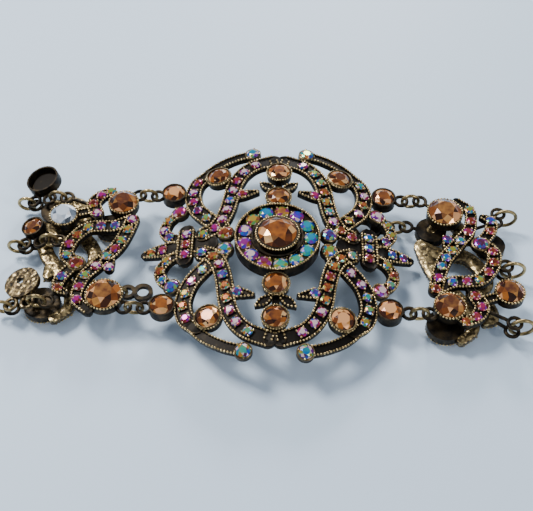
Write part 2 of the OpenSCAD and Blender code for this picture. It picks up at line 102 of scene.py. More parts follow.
def new_tree(name: str, kind: str, inputs: dict[str, str | float],
             outputs: dict[str, str]) -> bpy.types.NodeTree:
    """Makes an empty node tree with named sockets.

    Args:
        name: The tree's name.
        kind: The tree's type.
        inputs: Each input's socket type, or a value input's default.
        outputs: Each output's socket type.

    Returns:
        The tree, with its input and output nodes called "in" and "out".
    """
    tree = bpy.data.node_groups.new(name, kind)
    for label, made in inputs.items():
        is_value = isinstance(made, float)
        socket = tree.interface.new_socket(
            label, in_out="INPUT", socket_type="NodeSocketFloat" if is_value else made)
        if is_value:
            socket.default_value = made
    for label, made in outputs.items():
        tree.interface.new_socket(label, in_out="OUTPUT", socket_type=made)
    tree.nodes.new("NodeGroupInput").name = "in"
    tree.nodes.new("NodeGroupOutput").name = "out"
    return tree


def add(tree: bpy.types.NodeTree, kind: str, inputs: dict[str | int, object] | None = None,
        **settings: object) -> bpy.types.Node:
    """Adds a node, sets properties on it and fills its inputs.

    Args:
        tree: The tree to add to.
        kind: The node's type.
        inputs: A value, or a socket to link, for each input named.
        **settings: Properties by name.

    Returns:
        The node.
    """
    node = tree.nodes.new(kind)
    for key, value in settings.items():
        setattr(node, key, value)
    return fill(node, inputs or {})


def fill(node: bpy.types.Node, inputs: dict[str | int, object]) -> bpy.types.Node:
    """Gives a node's inputs their values or links.

    Args:
        node: The node.
        inputs: A value, or a socket to link, for each input named.

    Returns:
        The same node.
    """
    for name, value in inputs.items():
        if isinstance(value, bpy.types.NodeSocket):
            node.id_data.links.new(value, node.inputs[name])
        else:
            node.inputs[name].default_value = value
    return node


def maths(tree: bpy.types.NodeTree, operation: str, a: object, b: object) -> bpy.types.NodeSocket:
    """Joins two sockets or numbers with a Math node.

    Args:
        tree: The tree to add to.
        operation: The node's operation.
        a: A socket or a number.
        b: A socket or a number.

    Returns:
        The node's output.
    """
    return add(tree, "ShaderNodeMath", {0: a, 1: b}, operation=operation).outputs[0]


def patina_group() -> bpy.types.NodeTree:
    """Builds the group that says where the dark patina has worn off.

    Returns:
        A group with a Worn mask and a Height for fine casting grain.
    """
    group = new_tree(
        "patina", "ShaderNodeTree",
        {"Scale": 900.0, "Amount": 0.5, "Edge": 0.5, "Hammer": 0.0},
        {"Worn": "NodeSocketFloat", "Height": "NodeSocketFloat"},
    )
    source = group.nodes["in"].outputs
    where = add(group, "ShaderNodeTexCoord").outputs["Object"]
    cloud = add(group, "ShaderNodeTexNoise",
                {"Detail": 5.0, "Vector": where, "Scale": source["Scale"]})
    grain = add(group, "ShaderNodeTexNoise", {"Scale": 4200.0, "Vector": where})
    dimples = add(group, "ShaderNodeTexVoronoi", {"Scale": 1150.0, "Vector": where},
                  feature="SMOOTH_F1")
    edge = add(group, "ShaderNodeAttribute", attribute_name=Attr.WEAR.value)
    rubbed = maths(group, "MULTIPLY", edge.outputs["Fac"], source["Edge"])
    cloudy = maths(group, "MULTIPLY", cloud.outputs["Fac"], source["Amount"])
    worn = add(group, "ShaderNodeMapRange",
               {"From Min": 0.22, "From Max": 0.62, "Value": maths(group, "ADD", rubbed, cloudy)})
    grain_depth = 0.18
    deep = maths(group, "MULTIPLY", dimples.outputs["Distance"], source["Hammer"])
    fine = maths(group, "MULTIPLY", grain.outputs["Fac"], grain_depth)
    fill(group.nodes["out"], {"Worn": worn.outputs["Result"],
                              "Height": maths(group, "ADD", deep, fine)})
    return group


def sparkle_group() -> bpy.types.NodeTree:
    """Builds the group that gives each facet of each crystal its own place on a colour ramp.

    Returns:
        A group with a Place from 0 to 1, which picks each facet's painted reflection colour, and a mask of
        the brightest facets, which get a painted glint.
    """
    group = new_tree(
        "sparkle", "ShaderNodeTree",
        {"Facet share": 0.6, "Stone share": 0.3, "Cloud share": 0.15},
        {"Place": "NodeSocketFloat", "Painted glint": "NodeSocketFloat"},
    )
    source = group.nodes["in"].outputs
    where = add(group, "ShaderNodeTexCoord").outputs["Object"]
    cloud = add(group, "ShaderNodeTexNoise", {"Scale": 700.0, "Vector": where}).outputs["Fac"]
    facet, tint = (add(group, "ShaderNodeAttribute", attribute_name=name.value).outputs["Fac"]
                   for name in (Attr.FACET, Attr.TINT))
    shares = [maths(group, "MULTIPLY", value, source[share]) for value, share in
              ((facet, "Facet share"), (tint, "Stone share"), (cloud, "Cloud share"))]
    total = maths(group, "ADD", maths(group, "ADD", shares[0], shares[1]), shares[2])
    # Facets whose mixed value passes this share get the painted glint, a painted highlight.
    spread, dull_share = 7.0, 0.84
    scattered = maths(group, "MULTIPLY", facet, spread)
    mixed = maths(group, "FRACT", maths(group, "ADD", scattered, tint), 0.0)
    fill(group.nodes["out"], {"Place": maths(group, "FRACT", total, 0.0),
                              "Painted glint": maths(group, "GREATER_THAN", mixed, dull_share)})
    return group


def ramp(tree: bpy.types.NodeTree, place: bpy.types.NodeSocket,
         stops: Iterable[tuple[float, Colour]]) -> bpy.types.Node:
    """Adds a colour ramp with the given stops.

    Args:
        tree: The tree to add to.
        place: The socket that says where on the ramp to look.
        stops: Each place and its colour, the two ends first.

    Returns:
        The ramp's node.
    """
    node = add(tree, "ShaderNodeValToRGB", {"Fac": place})
    elements = node.color_ramp.elements
    for index, (place, colour) in enumerate(stops):
        stop = elements[index] if index < 2 else elements.new(place)
        stop.position, stop.color = place, colour
    return node


# ---- finishes --------------------------------------------------------------


@dataclass(frozen=True)
class AntiqueBrass:
    """Cast or drawn brass, blackened and then rubbed bright where hands reach."""

    name: str
    dark: Colour = (0.012, 0.01, 0.008, 1)
    mid: Colour = (0.075, 0.052, 0.026, 1)
    bright: Colour = (0.5, 0.37, 0.17, 1)
    amount: float = 0.6
    edge: float = 0.55
    scale: float = 900.0
    hammer: float = 0.0
    bump_mm: float = 0.05

    def build(self, patina: bpy.types.NodeTree) -> bpy.types.Material:
        """Builds the material.

        Args:
            patina: The shared patina group.

        Returns:
            The material.
        """
        material = bpy.data.materials.new(self.name)
        material.use_nodes = True
        tree = material.node_tree
        wear = add(tree, "ShaderNodeGroup",
                   {"Scale": self.scale, "Amount": self.amount, "Edge": self.edge,
                    "Hammer": self.hammer}, node_tree=patina)
        worn = wear.outputs["Worn"]
        colours = ramp(tree, worn, [(0.0, self.dark), (1.0, self.bright), (0.5, self.mid)])
        rough = add(tree, "ShaderNodeMapRange", {"To Min": 0.5, "To Max": 0.24, "Value": worn})
        bump = add(tree, "ShaderNodeBump", {"Distance": self.bump_mm * MM, "Strength": 0.8,
                                            "Height": wear.outputs["Height"]})
        fill(tree.nodes["Principled BSDF"],
             {"Base Color": colours.outputs["Color"], "Roughness": rough.outputs["Result"],
              "Normal": bump.outputs["Normal"], "Metallic": 0.9})
        return material


@dataclass(frozen=True)
class FoiledCrystal:
    """A foil-backed faceted crystal, whose facets each get a painted colour: the stone's own colour mixed
    with painted reflections, and a painted glint on the brightest facets.
    """

    name: str
    stops: tuple[tuple[float, Colour], ...]
    facet: float = 0.45
    stone: float = 1.0
    cloud: float = 0.2
    metallic: float = 0.4
    roughness: float = 0.13
    # Colour of the painted glint on the brightest facets.
    glint_colour: Colour = (0.7, 0.5, 0.5, 1)

    def build(self, sparkle: bpy.types.NodeTree) -> bpy.types.Material:
        """Builds the material.

        Args:
            sparkle: The shared sparkle group.

        Returns:
            The material.
        """
        material = bpy.data.materials.new(self.name)
        material.use_nodes = True
        tree = material.node_tree
        place = add(tree, "ShaderNodeGroup",
                    {"Facet share": self.facet, "Stone share": self.stone,
                     "Cloud share": self.cloud}, node_tree=sparkle)
        order = sorted(self.stops)
        colours = ramp(tree, place.outputs["Place"], [order[0], order[-1], *order[1:-1]])
        # Mixes the painted glint colour over the brightest facets.
        mix = add(tree, "ShaderNodeMix",
                  {"Factor": place.outputs["Painted glint"], "A": colours.outputs["Color"],
                   "B": self.glint_colour}, data_type="RGBA")
        fill(tree.nodes["Principled BSDF"],
             {"Base Color": mix.outputs["Result"], "Metallic": self.metallic,
              "Roughness": self.roughness, "Coat Weight": 0.12, "Specular IOR Level": 0.35,
              "Coat Roughness": 0.03, "IOR": 1.55})
        return material


# Facet colour ramps, one stop's colour per facet. Apart from the stone's own colour (amber, or the aurora
# coating's hues), the darkest stops are painted shade and the brightest painted highlights on facets; the
# clear ramp is painted reflection only, from dark to white.
AURORA = (
    (0.0, (0.072, 0.008, 0.004, 1)), (0.12, (0.216, 0.033, 0.01, 1)), (0.24, (0.36, 0.008, 0.119, 1)),
    (0.36, (0.149, 0.016, 0.36, 1)), (0.46, (0.086, 0.013, 0.026, 1)), (0.56, (0.015, 0.06, 0.446, 1)),
    (0.66, (0.009, 0.288, 0.25, 1)), (0.76, (0.192, 0.302, 0.032, 1)), (0.88, (0.504, 0.146, 0.027, 1)),
    (1.0, (0.115, 0.018, 0.007, 1)),
)
AURORA_COOL = (
    (0.0, (0.202, 0.025, 0.05, 1)), (0.14, (0.302, 0.022, 0.302, 1)), (0.28, (0.038, 0.028, 0.432, 1)),
    (0.42, (0.011, 0.161, 0.504, 1)), (0.56, (0.012, 0.36, 0.284, 1)), (0.7, (0.165, 0.36, 0.041, 1)),
    (0.84, (0.54, 0.247, 0.036, 1)), (1.0, (0.173, 0.021, 0.021, 1)),
)
TOPAZ = (
    (0.0, (0.022, 0.006, 0.002, 1)), (0.3, (0.07, 0.017, 0.004, 1)), (0.45, (0.2, 0.052, 0.008, 1)),
    (0.62, (0.45, 0.138, 0.018, 1)), (0.74, (0.1, 0.03, 0.014, 1)), (0.88, (0.6, 0.26, 0.055, 1)),
    (1.0, (0.76, 0.46, 0.2, 1)),
)
CLEAR_FACET_REFLECTIONS = (
    (0.0, (0.03, 0.035, 0.045, 1)), (0.35, (0.22, 0.27, 0.33, 1)), (0.6, (0.6, 0.68, 0.76, 1)),
    (1.0, (0.95, 0.97, 1.0, 1)),
)


@dataclass
class Finishes:
    """Every material on the bracelet, built once."""

    patina: bpy.types.NodeTree = field(default_factory=patina_group)
    sparkle: bpy.types.NodeTree = field(default_factory=sparkle_group)

    def __post_init__(self) -> None:
        """Builds the materials from their finishes."""
        self.scroll = AntiqueBrass("antique_scrolls", amount=0.36, edge=0.3).build(self.patina)
        self.back = AntiqueBrass("hammered_backs", amount=0.75, edge=0.2, hammer=1.6,
                                 scale=1500.0, bump_mm=0.16).build(self.patina)
        self.bead = AntiqueBrass("rubbed_beads", mid=(0.2, 0.14, 0.06, 1), amount=1.1, edge=0.0,
                                 bright=(0.75, 0.56, 0.27, 1), scale=1300.0, bump_mm=0.01).build(self.patina)
        self.ring = AntiqueBrass("ring_wire", amount=1.0, mid=(0.16, 0.115, 0.05, 1), edge=0.0, scale=600.0,
                                 bump_mm=0.02).build(self.patina)
        self.cup = AntiqueBrass("cup_metal", amount=0.55, edge=0.3, scale=800.0).build(self.patina)
        self.disc = AntiqueBrass("hammered_disc", amount=0.85, edge=0.0, hammer=1.8,
                                 scale=1500.0, bump_mm=0.2).build(self.patina)
        # Each crystal's facets carry painted reflections, and its brightest facets a painted glint.
        self.aurora = FoiledCrystal("aurora_crystal", AURORA).build(self.sparkle)
        self.cool = FoiledCrystal("cool_aurora_crystal", AURORA_COOL).build(self.sparkle)
        self.topaz = FoiledCrystal("topaz_crystal", TOPAZ, stone=0.15, facet=1.0,
                                   glint_colour=(0.85, 0.4, 0.16, 1)).build(self.sparkle)
        self.clear = FoiledCrystal("clear_crystal", CLEAR_FACET_REFLECTIONS, stone=0.1, facet=1.0,
                                   glint_colour=(1.0, 1.0, 1.0, 1)).build(self.sparkle)


# ---- meshes ----------------------------------------------------------------


def new_object(name: str, mesh: bpy.types.Mesh, material: bpy.types.Material) -> bpy.types.Object:
    """Links a mesh to the scene as an object with one material.

    Args:
        name: The object's name.
        mesh: Its mesh.
        material: Its only material.

    Returns:
        The object.
    """
    piece = bpy.data.objects.new(name, mesh)
    mesh.materials.clear()
    mesh.materials.append(material)
    bpy.context.scene.collection.objects.link(piece)
    return piece


def smooth(points: list[Point], steps: int = 6) -> np.ndarray:
    """Draws a smooth line through the points.

    Args:
        points: The line's points in order.
        steps: Pieces between each two points.

    Returns:
        The line's points, one row each.
    """
    knots = np.array(points, float)
    if len(knots) < 3:
        share = np.linspace(0, 1, steps + 1)[:, None]
        return knots[0] * (1 - share) + knots[-1] * share
    padded = np.vstack([2 * knots[0] - knots[1], knots, 2 * knots[-1] - knots[-2]])
    rows = []
    for a, b, c, d in zip(padded, padded[1:], padded[2:], padded[3:]):
        for t in np.linspace(0, 1, steps, endpoint=False):
            rows.append(0.5 * (2 * b + (c - a) * t + (2 * a - 5 * b + 4 * c - d) * t ** 2
                               + (3 * b - a - 3 * c + d) * t ** 3))
    return np.array([*rows, knots[-1]])


def tangents(line: np.ndarray) -> np.ndarray:
    """Gives the unit direction at each point of a line.

    Args:
        line: The line's points, one row each.

    Returns:
        The directions, one row each.
    """
    along = np.gradient(line, axis=0)
    return along / np.linalg.norm(along, axis=1)[:, None]


def circle(at: Point, radius: float, z: float, place: Place, count: int = 33) -> np.ndarray:
    """Draws a closed ring of points round a stone.

    Args:
        at: The stone's centre in the flat frame.
        radius: The ring's radius.
        z: Its height over the casting's face.
        place: Takes flat points to their places in the bracelet.
        count: How many points.

    Returns:
        The placed points, one row each.
    """
    turn = np.linspace(0, math.tau, count)
    return place(np.column_stack([at[0] + radius * np.cos(turn), at[1] + radius * np.sin(turn),
                                  np.full(count, z)]))


@dataclass(frozen=True)
class Ribbon:
    """One scroll of a casting: a line and its widths."""

    line: tuple[Point, ...]
    width: float
    end_width: float = 0.0
    start_width: float = 0.0
    beaded: bool = True

    def widths(self, count: int) -> np.ndarray:
        """Gives the width at each of so many points, swelling between its two ends.

        Args:
            count: How many points the line has.

        Returns:
            The widths.
        """
        first = self.start_width or self.width
        last = self.end_width or self.width
        share = np.linspace(0, 1, count)
        swell = (self.width - (first + last) / 2) * np.sin(math.pi * share)
        return first * (1 - share) + last * share + swell


@dataclass
class Casting:
    """Builds the scrolls of one casting from its ribbons, in its own flat frame."""

    name: str
    body: str
    thickness: float = 1.2
    rim: float = 0.06
    channel: float = 0.2
    bevel: float = 0.2
    back_crown: float = 0.12
    bead_mm: float = 0.23
    bead_inset: float = 0.9
    bead_pitch: float = 0.6
    verts: list[np.ndarray] = field(default_factory=list)
    faces: list[tuple[int, ...]] = field(default_factory=list)
    wear: list[float] = field(default_factory=list)
    edges: list[np.ndarray] = field(default_factory=list)

    def profile(self, face: Face) -> list[tuple[float, float, float]]:
        """Gives a scroll's section as (share of half width, height, wear).

        Args:
            face: Which side looks up.

        Returns:
            The section's corners in order round it.
        """
        t = self.thickness
        top = [(-1, -self.bevel, 0.1), (-0.92, self.rim, 0.4), (-0.76, self.rim, 0.3),
               (-0.68, -self.channel, 0), (0.68, -self.channel, 0), (0.76, self.rim, 0.3),
               (0.92, self.rim, 0.4), (1, -self.bevel, 0.1)]
        crowned = 0.0 if face is Face.STONES else self.back_crown
        return [*top, (1, self.bevel - t, 0.3), (0.8, -t, 0.8), (0, -t - crowned, 0.55),
                (-0.8, -t, 0.8), (-1, self.bevel - t, 0.3)]

    def skin(self, start: int, rings: int, corners: int, closed: bool) -> None:
        """Joins a row of rings with faces.

        Args:
            start: The first ring's first corner.
            rings: How many rings there are.
            corners: How many corners each ring has.
            closed: Whether the last ring joins the first.
        """
        for k in range(rings if closed else rings - 1):
            step = corners if k < rings - 1 else -corners * (rings - 1)
            for j in range(corners):
                a, b = start + k * corners + j, start + k * corners + (j + 1) % corners
                self.faces.append((a, b, b + step, a + step))

    def sweep(self, ribbon: Ribbon, place: Place, face: Face, lift: float = 0.0) -> None:
        """Adds one scroll, with round ends, and the lines its beads follow.

        Args:
            ribbon: The scroll.
            place: Takes flat points to their places in the bracelet.
            face: Which side looks up.
            lift: How far it stands above the casting's face.
        """
        line = smooth(list(ribbon.line))
        half = ribbon.widths(len(line)) / 2
        along = tangents(line)
        angles = np.radians([20, 45, 70])
        head = [line[0] - along[0] * half[0] * math.sin(a) for a in angles[::-1]]
        tail = [line[-1] + along[-1] * half[-1] * math.sin(a) for a in angles]
        path = np.vstack([head, line, tail])
        halves = np.concatenate([half[0] * np.cos(angles[::-1]), half, half[-1] * np.cos(angles)])
        ways = np.vstack([[along[0]] * 3, along, [along[-1]] * 3])
        side = np.stack([-ways[:, 1], ways[:, 0]], 1)
        section = self.profile(face)
        start = sum(len(v) for v in self.verts)
        ring = len(section)
        ends = len(angles)
        for k, (centre, out, h) in enumerate(zip(path, side, halves)):
            floor = -self.channel if ends <= k < len(path) - ends else 0.0
            self.verts.append(place(np.array([
                [*(centre + out * share * h), (z if z <= -self.thickness / 2 else max(z, floor))
                 + lift] for share, z, _ in section])))
            self.wear.extend(w for _, _, w in section)
        self.skin(start, len(path), ring, closed=False)
        self.faces.append(tuple(range(start + ring - 1, start - 1, -1)))
        last = start + (len(path) - 1) * ring
        self.faces.append(tuple(range(last, last + ring)))
        if ribbon.beaded:
            for sign in (1, -1):
                rail = line + np.stack([-along[:, 1], along[:, 0]], 1) * (
                    sign * (half - self.bead_mm * self.bead_inset))[:, None]
                self.edges.append(place(np.column_stack(
                    [rail, np.full(len(rail), self.rim + lift)])))

    def collet(self, at: Point, radius: float, wall: float, low: float, high: float,
               place: Place, sides: int = 28) -> None:
        """Adds a round cup wall with a rolled lip.

        Args:
            at: The cup's centre in the flat frame.
            radius: The stone's radius.
            wall: The wall's thickness.
            low: Height of its foot.
            high: Height of its lip.
            place: Takes flat points to their places in the bracelet.
            sides: Pieces round the cup.
        """
        gap = 0.02
        section = [(radius + gap, low, 0), (radius + gap, high - 0.05, 0.6),
                   (radius + wall * 0.5, high + 0.03, 1), (radius + wall, high - 0.08, 0.8),
                   (radius + wall + 0.05, low + 0.25, 0.2), (radius + wall, low, 0.2)]
        start = sum(len(v) for v in self.verts)
        for k in range(sides):
            a = math.tau * k / sides
            self.verts.append(place(np.array([
                [at[0] + r * math.cos(a), at[1] + r * math.sin(a), z] for r, z, _ in section])))
            self.wear.extend(w for _, _, w in section)
        self.skin(start, sides, len(section), closed=True)

    def build(self, material: bpy.types.Material) -> bpy.types.Object:
        """Makes the casting's mesh, with its normals outwards.

        Args:
            material: Its finish.

        Returns:
            The piece.
        """
        mesh = bpy.data.meshes.new(self.name)
        mesh.from_pydata((np.vstack(self.verts) * MM).tolist(), [], self.faces)
        worn = mesh.attributes.new(Attr.WEAR.value, "FLOAT", "POINT")
        worn.data.foreach_set("value", np.array(self.wear, np.float32))
        shell = bmesh.new()
        shell.from_mesh(mesh)
        bmesh.ops.recalc_face_normals(shell, faces=shell.faces)
        shell.to_mesh(mesh)
        shell.free()
        mesh.shade_smooth()
        mesh.set_sharp_from_angle(angle=math.radians(38))
        return new_object(self.name, mesh, material)


# ---- geometry nodes --------------------------------------------------------


def finish_tree(tree: bpy.types.NodeTree, instances: bpy.types.NodeSocket, flat: bool) -> None:
    """Ends a tree in Realize Instances and Set Material.

    Args:
        tree: The tree.
        instances: The instances to finish.
        flat: Whether facets stay flat.
    """
    real = add(tree, "GeometryNodeRealizeInstances", {"Geometry": instances})
    shade = add(tree, "GeometryNodeSetShadeSmooth",
                {"Geometry": real.outputs["Geometry"], "Shade Smooth": not flat})
    paint = add(tree, "GeometryNodeSetMaterial",
                {"Geometry": shade.outputs["Geometry"],
                 "Material": tree.nodes["in"].outputs["Finish"]})
    fill(tree.nodes["out"], {"Geometry": paint.outputs["Geometry"]})


def bead_tree() -> bpy.types.NodeTree:
    """Builds the tree that strings small beads along a casting's edge lines.

    Returns:
        The tree, with Pitch, Bead radius and Finish as inputs.
    """
    tree = new_tree("beads_on_edges", "GeometryNodeTree",
                    {"Geometry": "NodeSocketGeometry", "Pitch": "NodeSocketFloat",
                     "Bead radius": "NodeSocketFloat", "Finish": "NodeSocketMaterial"},
                    {"Geometry": "NodeSocketGeometry"})
    source = tree.nodes["in"].outputs
    curve = add(tree, "GeometryNodeMeshToCurve", {"Mesh": source["Geometry"]})
    even = add(tree, "GeometryNodeResampleCurve",
               {"Curve": curve.outputs["Curve"], "Length": source["Pitch"]}, mode="LENGTH")
    bead = add(tree, "GeometryNodeMeshIcoSphere",
               {"Subdivisions": 2, "Radius": source["Bead radius"]})
    string = add(tree, "GeometryNodeInstanceOnPoints",
                 {"Points": even.outputs["Curve"], "Instance": bead.outputs["Mesh"]})
    finish_tree(tree, string.outputs["Instances"], flat=False)
    return tree


def seat_tree() -> bpy.types.NodeTree:
    """Builds the tree that sets one shape at each seat, turned and sized by the seat.

    Returns:
        The tree, with Shape and Finish as inputs.
    """
    tree = new_tree("shape_at_seats", "GeometryNodeTree",
                    {"Geometry": "NodeSocketGeometry", "Shape": "NodeSocketObject",
                     "Finish": "NodeSocketMaterial"},
                    {"Geometry": "NodeSocketGeometry"})
    source = tree.nodes["in"].outputs
    shape = add(tree, "GeometryNodeObjectInfo", {"Object": source["Shape"]})
    turn, size = (add(tree, "GeometryNodeInputNamedAttribute", {"Name": name.value},
                      data_type="FLOAT_VECTOR").outputs["Attribute"]
                  for name in (Attr.TURN, Attr.SIZE))
    euler = add(tree, "FunctionNodeEulerToRotation", {"Euler": turn})
    seat = add(tree, "GeometryNodeInstanceOnPoints",
               {"Points": source["Geometry"], "Instance": shape.outputs["Geometry"],
                "Rotation": euler.outputs["Rotation"], "Scale": size})
    finish_tree(tree, seat.outputs["Instances"], flat=True)
    return tree


def grow(piece: bpy.types.Object, tree: bpy.types.NodeTree, values: dict[str, object]) -> None:
    """Runs a tree on a piece and keeps its result as a plain mesh.

    Args:
        piece: The piece whose mesh feeds the tree.
        tree: The tree.
        values: The tree's inputs by name.
    """
    modifier = piece.modifiers.new(tree.name, "NODES")
    modifier.node_group = tree
    for item in tree.interface.items_tree:
        if item.in_out == "INPUT" and item.name in values:
            modifier[item.identifier] = values[item.name]
    graph = bpy.context.evaluated_depsgraph_get()
    mesh = bpy.data.meshes.new_from_object(piece.evaluated_get(graph),
                                           preserve_all_data_layers=True, depsgraph=graph)
    piece.modifiers.clear()
    piece.data = mesh


@dataclass(frozen=True)
class Seat:
    """Where one stone sits: the middle of its underside, its lean, and its size in metres."""

    centre: Vector
    normal: Vector
    radius: float
    height: float


def seats_of(node: bpy.types.Object) -> list[Seat]:
    """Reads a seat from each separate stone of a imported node.

    Args:
        node: The node of stones.

    Returns:
        One seat per stone.
    """
    copy = bmesh.new()
    copy.from_mesh(node.data)
    bmesh.ops.remove_doubles(copy, verts=copy.verts, dist=1e-6)
    unseen, seats = set(copy.verts), []
    while unseen:
        queue, island = [unseen.pop()], []
        while queue:
            vert = queue.pop()
            island.append(vert)
            for edge in vert.link_edges:
                other = edge.other_vert(vert)
                if other in unseen:
                    unseen.remove(other)
                    queue.append(other)
        points = np.array([v.co[:] for v in island])
        middle = points.mean(0)
        axis = np.linalg.svd(points - middle)[2][2]
        up = (points - middle) @ axis
        across = np.linalg.norm(points - middle - np.outer(up, axis), axis=1)
        if across[up > up.max() - 1e-5].mean() > across[up < up.min() + 1e-5].mean():
            axis, up = -axis, -up
        seats.append(Seat(Vector(middle + axis * up.min()), Vector(axis), float(across.max()),
                          float(up.max() - up.min())))
    copy.free()
    return sorted(seats, key=lambda s: (round(s.centre.x, 5), round(s.centre.y, 5)))


def brilliant(seed: int) -> bpy.types.Object:
    """Makes a round brilliant of unit radius and height with a value for each facet.

    Args:
        seed: Fixes the facets' values.

    Returns:
        The shape, which is removed when the stones are set.
    """
    dice = random.Random(seed)
    sides, facets = 16, 8
    cut = bmesh.new()
    layer = cut.faces.layers.float.new(Attr.FACET.value)

    def ring(radius: float, z: float, count: int, offset: float) -> list[bmesh.types.BMVert]:
        """Adds a ring of corners.

        Args:
            radius: The ring's radius.
            z: Its height.
            count: How many corners.
            offset: Its turn, as a share of the step between corners.

        Returns:
            The corners in order.
        """
        return [cut.verts.new((radius * math.cos(math.tau * (k + offset) / count),
                               radius * math.sin(math.tau * (k + offset) / count), z))
                for k in range(count)]

    base, girdle = ring(0.99, 0, sides, 0), ring(1, 0.36, sides, 0)
    crown, table = ring(0.8, 0.68, facets, 0.5), ring(0.54, 1, facets, 0)
    cut.faces.new(base[::-1])
    cut.faces.new(table)
    for k in range(sides):
        ahead = (k + 1) % sides
        cut.faces.new((base[k], base[ahead], girdle[ahead], girdle[k]))
    for k in range(facets):
        here, ahead, above = crown[k], crown[(k + 1) % facets], table[(k + 1) % facets]
        cut.faces.new((table[k], here, above))
        cut.faces.new((here, girdle[2 * k], girdle[2 * k + 1]))
        corner = girdle[(2 * k + 2) % sides]
        cut.faces.new((here, girdle[2 * k + 1], corner))
        cut.faces.new((here, corner, ahead, above))
    bmesh.ops.recalc_face_normals(cut, faces=cut.faces)
    # Each facet's random value picks its painted reflection colour on the ramp.
    for face in cut.faces:
        face[layer] = dice.random()
    mesh = bpy.data.meshes.new("brilliant")
    cut.to_mesh(mesh)
    cut.free()
    shape = bpy.data.objects.new("brilliant", mesh)
    bpy.context.scene.collection.objects.link(shape)
    return shape


@dataclass
class Workshop:
    """The shared trees, shapes and finishes that every sub-assembly uses."""

    frame: dict
    finishes: Finishes = field(default_factory=Finishes)

    def __post_init__(self) -> None:
        """Builds the trees once."""
        self.beads = bead_tree()
        self.seats = seat_tree()
        self.cut = brilliant(11)

    def string_beads(self, name: str, body: str, lines: list[np.ndarray], radius: float,
                     pitch: float) -> None:
        """Strings beads along lines.

        Args:
            name: The piece's name.
            body: The body it rides on.
            lines: The lines, in millimetres in the bracelet's frame.
            radius: A bead's radius.
            pitch: The distance between beads.
        """
        verts, edges = [], []
        for line in lines:
            first = len(verts)
            verts.extend((line * MM).tolist())
            edges.extend((first + k, first + k + 1) for k in range(len(line) - 1))
        mesh = bpy.data.meshes.new(name)
        mesh.from_pydata(verts, edges, [])
        piece = new_object(name, mesh, self.finishes.bead)
        grow(piece, self.beads, {"Pitch": pitch * MM, "Bead radius": radius * MM,
                                 "Finish": self.finishes.bead})
        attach(piece, body)
        LOG.info("%s: %d faces", name, len(piece.data.polygons))

    def set_stones(self, name: str, body: str, nodes: list[str], material: bpy.types.Material,
                   seed: int) -> None:
        """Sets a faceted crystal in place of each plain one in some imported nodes.

        Args:
            name: The piece's name.
            body: The body it rides on.
            nodes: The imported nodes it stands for.
            material: Its finish.
            seed: Fixes each stone's turn and tint.
        """
        dice = random.Random(seed)
        seats = [s for n in nodes for s in seats_of(self.frame["nodes"][n])]
        mesh = bpy.data.meshes.new(name)
        mesh.from_pydata([s.centre[:] for s in seats], [], [])
        for attribute, kind in ((Attr.TURN, "FLOAT_VECTOR"), (Attr.SIZE, "FLOAT_VECTOR"),
                                (Attr.TINT, "FLOAT")):
            mesh.attributes.new(attribute.value, kind, "POINT")
        turn, size, tint = (mesh.attributes[a.value] for a in (Attr.TURN, Attr.SIZE, Attr.TINT))
        for k, seat in enumerate(seats):
            lean = seat.normal.to_track_quat("Z", "Y").to_matrix()
            spun = lean @ Matrix.Rotation(dice.uniform(0, math.tau), 3, "Z")
            turn.data[k].vector = spun.to_euler()
            size.data[k].vector = (seat.radius, seat.radius, seat.height)
            tint.data[k].value = dice.random()
        piece = new_object(name, mesh, material)
        grow(piece, self.seats, {"Shape": self.cut, "Finish": material})
        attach(piece, body)
        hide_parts(*nodes)
        LOG.info("%s: %d stones", name, len(seats))

    def set_prongs(self, name: str, body: str, nodes: list[str], radius: float = 0.2,
                   count: int = 4) -> None:
        """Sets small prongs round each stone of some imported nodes.

        Args:
            name: The piece's name.
            body: The body it rides on.
            nodes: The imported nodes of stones.
            radius: A prong's radius in millimetres.
            count: Prongs round each stone.
        """
        overlap, tip_share = 0.4, 0.45
        lines = []
        for seat in (s for n in nodes for s in seats_of(self.frame["nodes"][n])):
            lean = seat.normal.to_track_quat("Z", "Y").to_matrix()
            for k in range(count):
                a = math.tau * (k + 0.5) / count
                reach = seat.radius + radius * MM * overlap
                foot = seat.centre + lean @ Vector((reach * math.cos(a), reach * math.sin(a), 0))
                tip = foot + seat.normal * seat.height * tip_share
                lines.append(np.array([foot[:], tip[:]]) / MM)
        pitch = max(np.linalg.norm(line[1] - line[0]) for line in lines)
        self.string_beads(name, body, lines, radius, pitch)

    def dress(self, nodes: dict[str, bpy.types.Material]) -> None:
        """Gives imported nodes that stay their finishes.

        Args:
            nodes: Each node's name and its material.
        """
        for name, material in nodes.items():
            mesh = self.frame["nodes"][name].data
            mesh.materials.clear()
            mesh.materials.append(material)
            LOG.info("%s dressed in %s", name, material.name)


# ---- the plaque ------------------------------------------------------------


